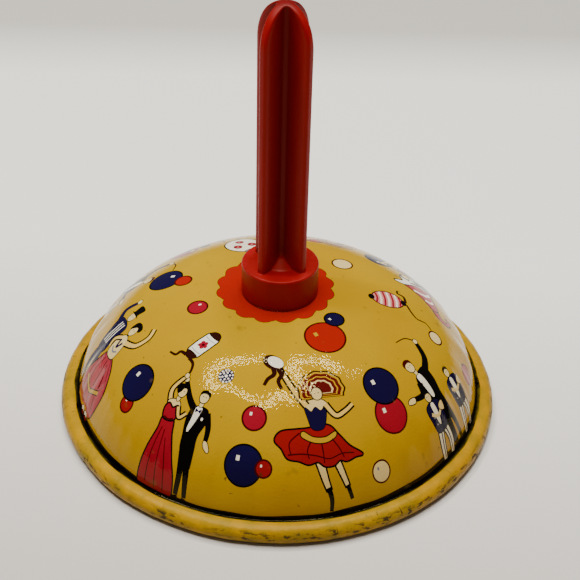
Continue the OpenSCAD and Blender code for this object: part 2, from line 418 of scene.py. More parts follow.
def tail_coat_man(at, arm_up):
    """Man in a black tailcoat, his weight on one leg. arm_up is the line of his raised arm."""
    at.limb("black", [(2, 14.2), (3, 7.4), (3, 1.2)], 2.5, 1.6, 0)
    at.limb("black", [(3.6, 14.2), (5.2, 7.6), (6.2, 1.2)], 2.5, 1.5, 0)
    at.shoe(2.9, 0.2, -1)
    at.shoe(6.2, 0.1, 1)
    at.limb("black", arm_up, 2.1, 1.3, 0)
    at.fill("cream", ellipse(arm_up[-1][0] - 0.3, arm_up[-1][1] + 0.5, 0.7, step=0.3), 0.24)
    at.shape("black", [(0.1, 25.2), (2.6, 26.1), (5, 25.6), (5.8, 22.4), (5, 18.4), (5.6, 14), (5.9, 9.6),
            (4.4, 10.2), (3.6, 13.4), (1, 13.4), (0.2, 17.6), (-0.5, 21.8)], 0)
    at.shape("white", [(1.2, 25.4), (3, 25.6), (2.6, 22), (1.5, 18.6), (0.9, 19.2), (1.1, 22.4)], 0)
    at.shape("navy", [(1.3, 25.2), (2.1, 24.7), (2.9, 25.3), (2.9, 24.1), (2.1, 24.5), (1.3, 24)], 0)
    at.fill("white", ellipse(4.1, 23, 0.34, 0.45, step=0.25))
    at.limb("black", [(4.9, 24.9), (6.9, 21.4), (7.6, 18.2)], 2, 1.35, 0)
    at.shape("cream", [(7.1, 18), (8.2, 18), (9.5, 16.2), (9.1, 15.6), (7.6, 16.6)], 0.24)
    at.fill("cream", ellipse(2.2, 26.5, 0.6, 0.8), 0.2)
    at.head(2.1, 28.5, 1.55, "black")


def ball_couple(azimuth, distance, tilt=0, flip=False, ink="crimson"):
    """The man in the tailcoat and the lady in the gown, dancing."""
    at = Spot(azimuth, distance, tilt, flip=flip)
    tail_coat_man(at, [(0.8, 24.6), (-1.9, 27), (-4.9, 31)])
    gown_lady(at, ink)


def fan_dancer(azimuth, distance, tilt=0, flip=False, skirt="red"):
    """Dancer in a short flared skirt with a fan-shaped headdress, holding up a tambourine."""
    at = Spot(azimuth, distance, tilt, flip=flip)
    at.limb("cream", [(3.6, 15.5), (6, 9.8), (7.4, 6.6)], 1.9, 1)
    at.limb("black", [(7.2, 7.2), (8.2, 4.8), (8.8, 3.2)], 1.2, 1, 0.1)
    at.limb("cream", [(-1, 15.5), (0.4, 9.4), (1.5, 6)], 2.3, 1.2)
    at.limb("black", [(1.2, 7), (2.1, 3.6), (1.9, 0.2)], 1.5, 1, 0.1)
    at.shape(skirt, [(-2.9, 23), (-6, 23.2), (-10.2, 23.4), (-12.2, 21.6), (-10.8, 19.2), (-9.6, 16.4),
            (-6.6, 15.2), (-4, 13.9), (-1.2, 14.2), (0.8, 12.8), (3.4, 12.8), (5.2, 14), (7.4, 13.6),
            (10, 14.6), (12.1, 15.2), (8.4, 17.4), (5.6, 20.4), (2.8, 23.2)])
    at.shape("gold", [(-4.2, 22.4), (-1.6, 20.6), (1.8, 20.2), (4.7, 21.4), (4.6, 20.1), (1.8, 18.9),
            (-1.8, 19.3), (-4.8, 21.2)], 0.3)
    for fold in ([(-5.2, 22.2), (-8.4, 20.2), (-8.6, 17.2)], [(-2.6, 19.4), (-3.8, 17.4), (-3.6, 15.2)],
            [(0.4, 18.8), (0.6, 16.4), (0.6, 13.6)], [(3.6, 19.6), (5.4, 17), (6.6, 14.6)], [(-9.4, 17.2),
            (-5.6, 16.8), (-1.6, 15.8), (2.2, 14.6), (6, 15.6), (9.6, 15.6)]):
        at.stroke("dark red", fold, 0.4, 0.3)
    at.shape("cream", [(-2.4, 28), (-2.9, 29.7), (-0.6, 30.4), (2.4, 30.2), (3.9, 28.4), (2.4, 26.8),
            (-1.2, 26.8)], 0.26)
    at.shape("navy", [(-2.6, 28.6), (-2.3, 25.8), (-1.6, 22.9), (0.2, 22.2), (1.9, 22.9), (2.9, 25.8),
            (3.1, 28.2), (1.6, 27.2), (0.3, 28.3), (-1, 27.2)], 0.2)
    at.limb("skin", [(-2, 29), (-4.4, 33.4), (-7, 41)], 1.35, 0.9)
    at.limb("skin", [(3.2, 28.8), (5.6, 25.6), (8.4, 26.6), (10.8, 28.4)], 1.2, 0.8)
    centre = (2.9, 33)
    for radius, ink in ((6.6, "brown"), (6.1, "gold"), (5.5, "maroon"), (4.6, "gold"), (4.2, "maroon"),
            (3.3, "cream"), (2.8, "maroon")):
        fan = []
        for k in range(29):
            a = math.radians(-24 + 228 * k / 28)
            r = radius * (1 + 0.035 * math.cos(11 * a))
            fan.append((centre[0] + r * math.cos(a), centre[1] + 0.86 * r * math.sin(a)))
        at.fill(ink, np.array(fan))
    at.head(1.4, 32, 1.7)
    for points in ([(-8.6, 42.4), (-8.6, 39.6), (-10.6, 38.4), (-12, 36.8)], [(-7.8, 41.6), (-6.6, 39.2),
            (-8, 37.2), (-7.6, 34.8)]):
        at.stroke("brown", points, 1.5, 0.9)
    at.fill("brown", ellipse(-8.1, 43.2, 3.1, 2.2, -48))
    at.fill("white", ellipse(-7.5, 43.2, 2.4, 1.6, -48))


def folk_pair(azimuth, distance, tilt=0, flip=False):
    """Lady in a tiered pink gown with her arm out, and a man in a navy jacket and top hat behind."""
    at = Spot(azimuth, distance, tilt, flip=flip)
    at.limb("navy", [(-13.4, 17.6), (-15.4, 10.8), (-16, 4)], 3, 1.8, 0.1)
    at.limb("navy", [(-11.6, 17.6), (-10.4, 10.8), (-9.8, 4.4)], 2.8, 1.6, 0.1)
    at.shoe(-16, 3, -1)
    at.shape("navy", [(-17, 27.2), (-13.4, 28.2), (-9.6, 27), (-9.6, 22.4), (-10, 17.2), (-15.2, 16.8),
            (-16.4, 22)], 0.15)
    for u in (-14.4, -13.2, -12):
        at.stroke("white", [(u + 0.5, 27.2), (u, 22.6), (u - 0.2, 19.4)], 0.42)
    at.limb("navy", [(-16.2, 26.4), (-18.8, 29.6), (-17.6, 33.6)], 2, 1.3, 0.1)
    at.fill("cream", ellipse(-17.4, 34.4, 0.8, step=0.3), 0.22)
    at.head(-12.6, 30.2, 1.65)
    at.shape("black", [(-15.4, 31.2), (-14.2, 31.7), (-14.4, 34.4), (-11.2, 34.4), (-11.3, 31.7),
            (-9.8, 31.2)], 0)
    at.shape("pink", [(-7, 19), (-9.4, 14.4), (-12.4, 9), (-14.4, 4.4), (-14, 1.4), (-10.6, 1.2),
            (-7.4, 0.4), (-3.4, 1), (0.4, 0.6), (3.8, 2.4), (5, 7.4), (4.4, 12.4), (1.4, 16.6),
            (-2.6, 19)])
    at.shape("pink", [(-6.6, 18.6), (-8.6, 14.4), (-9.6, 10), (-6.8, 8.6), (-4.2, 7.6), (-1.4, 8.8),
            (1.6, 10.4), (2.6, 12.8), (0.4, 16), (-2.8, 18.6)], 0.2)
    hem = [(-9.8, 9.6), (-7.2, 8.2), (-4.2, 7), (-1.2, 8.2), (2.2, 9.8)]
    at.stroke("black", hem, 1.7)
    at.stroke("gold", hem, 1.05)
    at.stroke("gold", [(-13.8, 2), (-10.6, 1.9), (-7.4, 1.2), (-3.4, 1.8), (0.2, 1.4)], 0.8)
    for fold in ([(-6, 17.8), (-7.2, 13), (-6.8, 9.4)], [(-4.2, 17.8), (-3.2, 13), (-3, 9.2)],
            [(-2.6, 17), (0.2, 13.6), (1, 10.6)], [(-9.6, 7.6), (-10.8, 3)], [(-6.4, 6.6), (-6.4, 2)],
            [(-2.8, 6.2), (-2.2, 2.4)], [(1.4, 8), (2.4, 3.4)]):
        at.stroke("dark red", fold, 0.3, 0.5)
    for u in (-4, -0.4):
        at.fill("white", ellipse(u, 0.6, 1.3, 1), 0.3)
        at.fill("red", ellipse(u + 0.3, -1, 1.2, 1.1), 0.3)
    at.shape("cream", [(-7.3, 19), (-8.2, 23.4), (-6.6, 26.2), (-4.2, 25.8), (-3, 23.2), (-3, 19)], 0.32)
    at.stroke("navy", [(-6.6, 24.6), (-5.6, 22), (-4.6, 24.2)], 0.8)
    at.stroke("grey", [(-7.2, 21.4), (-5.4, 20.4), (-3.6, 21.4)], 0.6)
    at.limb("skin", [(-3.8, 24.9), (0.4, 27.2), (1.2, 31.4), (-0.8, 34.2)], 1.5, 0.95)
    at.limb("skin", [(-7.4, 24.8), (-9.6, 22.8), (-9, 20.2)], 1.2, 0.9)
    at.head(-5.9, 28.6, 1.7)
    at.shape("black", [(-7.8, 28.2), (-7.8, 31), (-5.8, 31.8), (-3.6, 31), (-3.9, 29.4), (-5.8, 30.2)], 0)


def band_leader(azimuth, distance, tilt=0, flip=False):
    """Man in a black tailcoat leading the band, one arm up with a baton."""
    at = Spot(azimuth, distance, tilt, flip=flip)
    at.limb("black", [(-1.6, 15), (-1.2, 8), (0.4, 1)], 3.4, 2.2, 0)
    at.limb("black", [(0.2, 15), (2.2, 8), (4.2, 1.2)], 2.6, 1.6, 0)
    at.shoe(0.5, 0.1, -1)
    at.shoe(4.3, 0.2, 1)
    at.stroke("brown", [(7.6, 33.2), (5.6, 35.6), (1.8, 36.6)], 0.5, 0.3)
    at.limb("black", [(1.6, 25.4), (5.4, 28), (7.4, 32.2)], 2.6, 1.5, 0)
    at.fill("cream", ellipse(7.7, 32.9, 0.75, step=0.3), 0.24)
    at.shape("black", [(-3.6, 25.6), (-0.8, 27), (2.6, 26.6), (2.9, 22.4), (1.8, 18), (2, 12.4),
            (0.2, 10.4), (-2.2, 10.8), (-3.6, 14.4), (-3.6, 18.6), (-4.4, 22)], 0)
    at.shape("white", [(-2.6, 26), (-0.9, 26.2), (-0.6, 22.6), (-1.3, 18.9), (-2.4, 19.2), (-2.7, 22.8)], 0)
    at.limb("black", [(-3.4, 24.4), (-5.2, 21.6), (-8.6, 22.4)], 2.3, 1.5, 0)
    at.shape("cream", [(-8.6, 23), (-10.6, 23.6), (-11.6, 22.8), (-9.4, 21.8)], 0.28)
    at.fill("cream", ellipse(-1.7, 27.3, 0.65, 0.9), 0.2)
    at.head(-2, 29.4, 1.75, "dark red", 15)


def bandsman(azimuth, distance, tilt=0, flip=False, size=1):
    """Small bandsman in a navy jacket and white trousers, with a horn."""
    at = Spot(azimuth, distance, tilt, size, flip)
    at.limb("white", [(-1.1, 9.4), (-2.2, 5), (-2.3, 0.8)], 2.3, 1.4)
    at.limb("white", [(1, 9.4), (2.2, 5), (2, 0.8)], 2.3, 1.4)
    at.stroke("black", [(-2.6, 0.4), (-1.3, 0.2)], 0.7)
    at.stroke("black", [(1.1, 0.2), (2.5, 0.4)], 0.7)
    for side in (-1, 1):
        at.stroke("navy", [(1.1 * side, 8.6), (2.0 * side, 5), (2.1 * side, 1.2)], 0.6, 0.4)
    at.shape("navy", [(-2.8, 15.2), (0, 16), (2.8, 15.2), (3, 11.6), (2.2, 8.4), (-2.2, 8.4), (-3, 11.6)],
            0.25)
    at.shape("white", [(-0.7, 15.4), (0.7, 15.4), (0.6, 11.4), (-0.2, 9.8), (-0.8, 11.6)], 0)
    for height in (10.6, 12.4):
        at.stroke("grey", [(-1.9, height), (-1.1, height - 0.4)], 0.4)
    at.stroke("cream", [(-2, 13.4), (0.4, 12), (2.8, 13.4)], 0.9, 0.7)
    at.shape("cream", [(2, 13), (3.4, 12.4), (3.7, 14.6), (2.2, 14)], 0.24)
    at.head(0, 17.4, 1.25, "black")


# ---------- the printed blank

def band_and_shade_width(azimuth):
    """Width of the black band beside the bead: a printed border, running wide where the die was off centre,
    with painted shade of the crevice between wall and bead.
    """
    left = math.exp(-((azimuth + 76) / 30) ** 2)
    right = math.exp(-((azimuth - 56) / 30) ** 2)
    back = math.exp(-((abs(azimuth) - 160) / 25) ** 2)
    return 0.9 + 1.5 * left + 1.3 * right + 0.8 * back + 0.12 * math.sin(math.radians(23 * azimuth))


BALLOONS = [  # azimuth, distance, radius, ink and, where it isn't white, the ink of its shine
    (-106, 35.5, 4.9, "navy"), (-103.5, 29.2, 2.3, "orange", None), (-71.5, 24.3, 2.6, "crimson"),
    (-51.5, 56.6, 2.2, "red"), (-53, 50.3, 5.1, "navy"), (-7.5, 47, 3, "crimson"), (-9, 59.5, 5.2, "navy"),
    (-3.4, 59.9, 2.1, "red"), (32, 24, 5.4, "orange", "gold"), (50, 20, 2.5, "navy"),
    (38.5, 52, 4.9, "crimson"), (40.5, 44, 5, "navy"), (29.5, 65, 2.8, "cream", "grey"),
    (131, 24.6, 2.8, "cream", None), (79.5, 47.5, 2.1, "cream", None), (79.5, 63, 3, "pink", None),
    (162.5, 38.5, 5, "pink"), (131, 41, 4.2, "navy"), (126.5, 48.5, 3.2, "pink"), (-135, 44, 4.6, "crimson"),
    (-140, 51, 3, "navy"), (178, 60, 4.8, "navy"), (-176, 55, 2.4, "red"), (168, 21, 2.4, "crimson"),
    (96, 66, 2.8, "red"),
]


def print_art():
    """Prints everything on the blank, what lies behind first."""
    scalloped_ring()
    for row in BALLOONS:
        balloon(*row)
    barrel_lantern(-41.5, 31, -10)
    striped_lantern(91, 31.5, 4)
    round_lantern(-157, 30, 12)
    barrel_lantern(141, 56, 14)
    confetti_ball(-22, 37, 2.2)
    confetti_ball(-84, 68, 2)
    party_horn(103, 47.5, -76)
    party_horn(-122, 60, -20, flip=True)
    ball_couple(-29, 73)
    fan_dancer(13, 72.6)
    folk_pair(-67.5, 72)
    band_leader(59, 74)
    bandsman(54.5, 73.6, 0, size=1.12)
    bandsman(68, 74.2, -3, size=1.14)
    ball_couple(120, 72.6, flip=True, ink="pink")
    fan_dancer(157, 72.4, flip=True, skirt="crimson")
    folk_pair(-162, 71.5, flip=True)
    band_leader(-112, 72.4, flip=True)
    bandsman(-102, 70.6)
    bandsman(-148, 70.6, flip=True)


def inside(points, outline):
    """Which points the outline winds round."""
    wind = np.zeros(len(points), int)
    x, y = points[:, 0], points[:, 1]
    for (ax, ay), (bx, by) in zip(outline, np.roll(outline, -1, 0)):
        side = (bx - ax) * (y - ay) - (x - ax) * (by - ay)
        wind += ((ay <= y) & (by > y) & (side > 0)).astype(int)
        wind -= ((ay > y) & (by <= y) & (side < 0)).astype(int)
    return wind != 0


def circle(radius, count):
    a = np.arange(count) * 2 * math.pi / count
    return np.stack([radius * np.cos(a), radius * np.sin(a)], 1)


GRID = 1.35  # spacing of the blank's own points
BAND_STEPS = 720  # round the black band's edge


def cut_blank():
    """Cuts the blank into triangles along every printed edge. Returns points, triangles and inks."""
    azimuths = np.arange(BAND_STEPS) * 360 / BAND_STEPS - 180
    a, r = np.radians(azimuths), BLANK_R - np.array([band_and_shade_width(azimuth) for azimuth in azimuths])
    band = np.stack([r * np.sin(a), -r * np.cos(a)], 1)
    loops = [circle(BLANK_R, SHELL_SEGMENTS), circle(HOLE_R, SHELL_SEGMENTS), band]
    loops += [outline for ink, outline in art]
    points, edges = [], []
    for loop in loops:
        first = len(points)
        points += [tuple(p) for p in loop]
        edges += [(first + k, first + (k + 1) % len(loop)) for k in range(len(loop))]
    rings = int((BLANK_R - HOLE_R) / GRID)
    for k in range(1, rings):
        radius = HOLE_R + k * (BLANK_R - HOLE_R) / rings
        points += [tuple(p) for p in circle(radius, max(24, int(2 * math.pi * radius / GRID)))]
    found = geometry.delaunay_2d_cdt([Vector(p) for p in points], edges, [], 0, 1e-5, False)
    flat = np.array([tuple(p) for p in found[0]])
    # Known flaw: shapes printed past the blank's edge leave some triangles outside it. Their corners
    # more than 0.05 mm out get no normal, and so no valid place on the dome.
    triangles = np.array([f for f in found[2] if len(f) == 3])
    a, b, c = (flat[triangles[:, k]] for k in range(3))
    area = (b[:, 0] - a[:, 0]) * (c[:, 1] - a[:, 1]) - (b[:, 1] - a[:, 1]) * (c[:, 0] - a[:, 0])
    triangles[area < 0] = triangles[area < 0][:, ::-1]
    middle = (a + b + c) / 3
    keep = np.hypot(middle[:, 0], middle[:, 1]) > HOLE_R * math.cos(math.pi / SHELL_SEGMENTS)
    triangles, middle = triangles[keep], middle[keep]
    inks = np.tile(INKS["yellow"], (len(triangles), 1))
    # Outside the band the sheet is black: a printed border, and painted shade of the crevice beside the bead
    inks[~inside(middle, band)] = INKS["black"]
    for ink, outline in art:
        low, high = outline.min(0), outline.max(0)
        near = np.all((middle > low) & (middle < high), axis=1).nonzero()[0]
        if len(near):
            inks[near[inside(middle[near], outline)]] = INKS[ink]
    return flat, triangles, inks


# ---------- the shell

def arc(x, z, r, start, end, steps):
    a = np.radians(np.linspace(start, end, steps + 1))
    return np.stack([x + r * np.cos(a), z + r * np.sin(a)], 1)


def sheet_paths():
    """The sheet beyond the wall's end, outer face, and the whole inner face back to the hole."""
    valley = arc(VALLEY_X, VALLEY_Z, VALLEY_R, 180, 180 + BEAD_START, VALLEY_STEPS)
    bead = arc(BEAD_X, BEAD_Z, BEAD_R, BEAD_START, BEAD_START - BEAD_TURN, BEAD_STEPS)
    curl = np.concatenate([valley, bead[1:]])
    first, last = (math.asin((r / DOME_R) ** (CROWN_POWER / 2)) for r in (SEAT_R, WALL_END_R))
    radii = DOME_R * np.sin(np.linspace(first, last, DOME_STEPS)) ** (2 / CROWN_POWER)
    dome = np.stack([radii, dome_height(radii)], 1)
    outer = np.concatenate([[[HOLE_R, SEAT_Z]], dome, curl[1:]])
    ahead = np.diff(outer, axis=0)
    ahead /= np.linalg.norm(ahead, axis=1)[:, None]
    side = np.stack([-ahead[:, 1], ahead[:, 0]], 1)
    before, after = np.concatenate([side[:1], side]), np.concatenate([side, side[-1:]])
    mitre = 1 + np.sum(before * after, axis=1)
    inner = outer - (before + after) * (SHEET_T / mitre)[:, None]
    curl[:, 1] = np.maximum(curl[:, 1], 0)
    return curl, inner


def build_shell():
    """The whole tin sheet: the printed dome, the curled rim and the bare inner face."""
    print_art()
    flat, triangles, inks = cut_blank()
    radius = np.hypot(flat[:, 0], flat[:, 1])
    top = drawn(flat)
    shift = 0.02
    along_x = drawn(flat + (shift, 0)) - drawn(flat - (shift, 0))
    along_y = drawn(flat + (0, shift)) - drawn(flat - (0, shift))
    normals = np.cross(along_x, along_y)
    normals /= np.linalg.norm(normals, axis=1)[:, None]

    def ring_of(limit):
        """Indices of the blank's points on the circle of that radius, in order round it."""
        on = np.abs(radius - limit) < 1e-3
        found = on.nonzero()[0]
        return found[np.argsort(np.mod(np.arctan2(flat[found, 1], flat[found, 0]) + 1e-6, 2 * math.pi))]

    verts = [tuple(p) for p in top]
    turn = np.arange(SHELL_SEGMENTS) * 2 * math.pi / SHELL_SEGMENTS
    cos, sin = np.cos(turn), np.sin(turn)

    def add_ring(r, z):
        first = len(verts)
        verts.extend(zip(r * cos, r * sin, np.full(SHELL_SEGMENTS, z)))
        return np.arange(first, first + SHELL_SEGMENTS)

    curl, inner = sheet_paths()
    rings = [ring_of(BLANK_R)] + [add_ring(r, z) for r, z in curl[1:]]
    painted_rings = len(rings)
    rings += [add_ring(r, z) for r, z in inner[::-1]]
    rings.append(ring_of(HOLE_R))
    faces = [tuple(t) for t in triangles]
    plain = len(faces)
    for upper, lower in zip(rings, rings[1:]):
        faces += list(zip(upper, lower, np.roll(lower, -1), np.roll(upper, -1)))

    verts = rim_wobble(np.array(verts))
    mesh = bpy.data.meshes.new("printed_bell")
    mesh.from_pydata([tuple(c * MM for c in v) for v in verts], [], [tuple(map(int, f)) for f in faces])
    outside = plain + SHELL_SEGMENTS * (painted_rings - 1)
    slots = np.zeros(len(faces), int)
    slots[outside:] = 1
    mesh.polygons.foreach_set("material_index", slots)
    mesh.polygons.foreach_set("use_smooth", np.ones(len(faces), bool))
    colour = mesh.color_attributes.new("ink", "FLOAT_COLOR", "CORNER")
    corner = np.ones((len(mesh.loops), 4), np.float32)
    corner[:, :3] = INKS["yellow"]
    corner[:3 * plain, :3] = np.repeat(inks, 3, axis=0)
    colour.data.foreach_set("color", corner.ravel())
    mesh.update()
    shading = np.zeros(len(verts) * 3)
    mesh.vertices.foreach_get("normal", shading)
    shading = shading.reshape(-1, 3)
    shading[:len(normals)] = normals
    mesh.normals_split_custom_set_from_vertices([tuple(n) for n in shading])
    shell = bpy.data.objects.new("printed_bell", mesh)
    bpy.context.collection.objects.link(shell)
    return shell


# ---------- the grip

HANDLE_H = 85.8
COLLAR_H = 9.9
COLLAR_EDGE = 0.6
RIB_R = 8.7
RIB_HALF = 1.25
FLUTE_R = 1.2
TIP_H = 11.0
RIB_TURN = 50.0
ROOT_R = 5.4  # cone between the ribs' feet
ROOT_TOP_R = 2.0
ROOT_H = 3.2
EDGE_R = 0.75  # rounding of the ribs' edges
FILLET_R = 0.4  # where the ribs meet the collar
SHARP_ANGLE = math.radians(48)


def soft_max(a, b, k):
    """The larger of two distances, rounded over k where they meet."""
    h = max(k - abs(a - b), 0) / k
    return max(a, b) + h * h * k * 0.25


def cross_distance(x, y):
    """How far a point is outside the four-ribbed section, with its round roots."""
    x, y = abs(x), abs(y)
    if x < y:
        x, y = y, x
    c = RIB_HALF + FLUTE_R
    if x < c:
        return FLUTE_R - math.hypot(c - x, c - y)
    return y - RIB_HALF


BISECTIONS = 26


def section_radius(angle, limit, edge, root=0.0):
    """Radius of the grip's section in one direction, with the ribs cut off at radius limit and the
    channels filled to the radius root."""
    low, high = root + 0.05, limit + 0.5
    cos, sin = math.cos(angle), math.sin(angle)
    for _ in range(BISECTIONS):
        r = (low + high) / 2
        d = soft_max(cross_distance(r * cos, r * sin), r - limit, edge)
        if d < 0:
            low = r
        else:
            high = r
    return low


def section_angles():
    """Directions round one section, close together along the ribs' sides."""
    c = RIB_HALF + FLUTE_R
    half = [0, 0.03, 0.06, 0.085]
    half += [math.atan2(RIB_HALF, x) for x in np.linspace(RIB_R - 0.2, c + 0.3, 6)]
    half += [math.atan2(c - FLUTE_R * math.cos(t), c - FLUTE_R * math.sin(t))
             for t in np.radians(np.linspace(9, 45, 6))]
    half = sorted(half + [0.30, 0.36, 0.42, 0.48, 0.54])
    quarter = half + [math.pi / 2 - a for a in half[-2:0:-1]]
    return [a + k * math.pi / 2 for k in range(4) for a in quarter]


def build_grip():
    """The plastic grip, lofted from its collar to its rounded tip."""
    angles = section_angles()
    turn = math.radians(RIB_TURN)
    count = len(angles)
    verts, loops = [], []

    def add_loop(height, radius_at):
        """One turn round the grip, at a height over its seat."""
        loops.append(range(len(verts), len(verts) + count))
        for a in angles:
            r = radius_at(a)
            verts.append((r * math.cos(a + turn), r * math.sin(a + turn), SEAT_Z + height))

    foot = 0.15
    add_loop(0, lambda a: COLLAR_R - foot)
    for height in (foot, 1.2, 4.0, 7.0, 9.0):
        add_loop(height, lambda a: COLLAR_R)
    for t in np.radians(np.linspace(0, 90, 6)):
        r = COLLAR_R - COLLAR_EDGE * (1 - math.cos(t))
        add_loop(COLLAR_H - COLLAR_EDGE * (1 - math.sin(t)), lambda a: r)

    # The ribs rise from the collar's top out of a small fillet, and a cone stands between their feet
    def root_at(up):
        return ROOT_R - up * (ROOT_R - ROOT_TOP_R) / ROOT_H

    for t in np.radians(np.linspace(0, 90, 5)):
        out, up = FILLET_R * (1 - math.sin(t)), FILLET_R * (1 - math.cos(t))
        add_loop(COLLAR_H + up, lambda a: section_radius(a, RIB_R, EDGE_R, root_at(up)) + out)
    for up in (0.8, 1.2, 1.6, 2.0, 2.4, 2.8, 3.2):
        add_loop(COLLAR_H + up, lambda a: section_radius(a, RIB_R, EDGE_R, root_at(up)))
    shoulder = HANDLE_H - TIP_H
    for height in np.linspace(COLLAR_H + 4.5, shoulder, 24):
        add_loop(height, lambda a: section_radius(a, RIB_R, EDGE_R))
    for t in np.radians(np.linspace(4, 86, 26)):
        limit = RIB_R * math.cos(t)
        add_loop(shoulder + TIP_H * math.sin(t), lambda a: section_radius(a, limit, min(EDGE_R, 0.8 * limit)))

    steps = [(k, (k + 1) % count) for k in range(count)]
    faces = []
    for lower, upper in zip(loops, loops[1:]):
        faces += [(lower[k], lower[j], upper[j], upper[k]) for k, j in steps]
    top = len(verts)
    verts.append((0, 0, SEAT_Z + HANDLE_H))
    faces += [(loops[-1][k], loops[-1][j], top) for k, j in steps]
    faces.append(tuple(reversed(loops[0])))
    mesh = bpy.data.meshes.new("ribbed_grip")
    mesh.from_pydata([tuple(c * MM for c in v) for v in verts], [], faces)
    grip = bpy.data.objects.new("ribbed_grip", mesh)
    bpy.context.collection.objects.link(grip)
    mesh.shade_smooth()
    mesh.set_sharp_from_angle(angle=SHARP_ANGLE)
    return grip


# ---------- materials

class Nodes:
    """Shorthand for building one material."""

    def __init__(self, name):
        self.material = bpy.data.materials.new(name)
        self.material.use_nodes = True
        self.tree = self.material.node_tree
        self.shader = self.tree.nodes["Principled BSDF"]

    def add(self, kind, **settings):
        node = self.tree.nodes.new(kind)
        for key, value in settings.items():
            setattr(node, key, value)
        return node

    def link(self, output, target):
        self.tree.links.new(output, target)

    def place(self, scale=(1, 1, 1), turn=(0, 0, 0)):
        """Coordinates of the piece itself, in metres, scaled."""
        coordinates = self.add("ShaderNodeTexCoord")
        mapping = self.add("ShaderNodeMapping")
        mapping.inputs["Scale"].default_value = scale
        mapping.inputs["Rotation"].default_value = turn
        self.link(coordinates.outputs["Object"], mapping.inputs["Vector"])
        return mapping.outputs["Vector"]

    def noise(self, vector, scale, detail=3.0, roughness=0.5, distortion=0.0):
        node = self.add("ShaderNodeTexNoise")
        node.inputs["Scale"].default_value = scale
        node.inputs["Detail"].default_value = detail
        node.inputs["Roughness"].default_value = roughness
        node.inputs["Distortion"].default_value = distortion
        self.link(vector, node.inputs["Vector"])
        return node.outputs["Fac"]

    def ramp(self, value, low, high, first=0.0, last=1.0):
        """The value's stretch from low to high, spread over first to last and held beyond them."""
        node = self.add("ShaderNodeMapRange", clamp=True)
        for key, number in zip(("From Min", "From Max", "To Min", "To Max"), (low, high, first, last)):
            node.inputs[key].default_value = number
        self.link(value, node.inputs["Value"])
        return node.outputs["Result"]

    def maths(self, operation, a, b=None):
        node = self.add("ShaderNodeMath", operation=operation)
        for socket, value in zip(node.inputs, (a, b)):
            if value is None:
                continue
            if isinstance(value, (int, float)):
                socket.default_value = value
            else:
                self.link(value, socket)
        return node.outputs["Value"]

    def mix(self, share, a, b, blend="MIX"):
        node = self.add("ShaderNodeMix", data_type="RGBA", blend_type=blend)
        for socket, value in zip((node.inputs[0], node.inputs[6], node.inputs[7]), (share, a, b)):
            if isinstance(value, (int, float)):
                socket.default_value = value
            elif isinstance(value, tuple):
                socket.default_value = (*value, 1.0)
            else:
                self.link(value, socket)
        return node.outputs[2]

    def times(self, a, b):
        return self.maths("MULTIPLY", a, b)

    def laid(self, colour, mask, amount, over):
        """The colour with another laid over it where the mask is."""
        return self.mix(self.times(mask, amount), colour, over)

    def split(self, vector):
        """The vector's three parts."""
        node = self.add("ShaderNodeSeparateXYZ")
        self.link(vector, node.inputs[0])
        return [node.outputs[k] for k in range(3)]

    def from_axis(self, x, y):
        """Distance from the bell's axis."""
        return self.maths("SQRT", self.maths("ADD", self.times(x, x), self.times(y, y)))

    def joined(self, *parts):
        node = self.add("ShaderNodeCombineXYZ")
        for socket, part in zip(node.inputs, parts):
            self.link(part, socket)
        return node.outputs["Vector"]

    def bump(self, height, strength, distance, normal=None):
        node = self.add("ShaderNodeBump")
        node.inputs["Strength"].default_value = strength
        node.inputs["Distance"].default_value = distance
        self.link(height, node.inputs["Height"])
        if normal is not None:
            self.link(normal, node.inputs["Normal"])
        return node.outputs["Normal"]

    def finish(self, base, roughness, normal=None, **constants):
        """Links what varies over the surface, and sets what doesn't on the shader's own sockets."""
        for name, value in (("Base Color", base), ("Roughness", roughness), ("Normal", normal)):
            if value is not None:
                self.link(value, self.shader.inputs[name])
        for name, value in constants.items():
            self.shader.inputs[name.replace("_", " ").title().replace("Ior", "IOR")].default_value = value
        return self.material


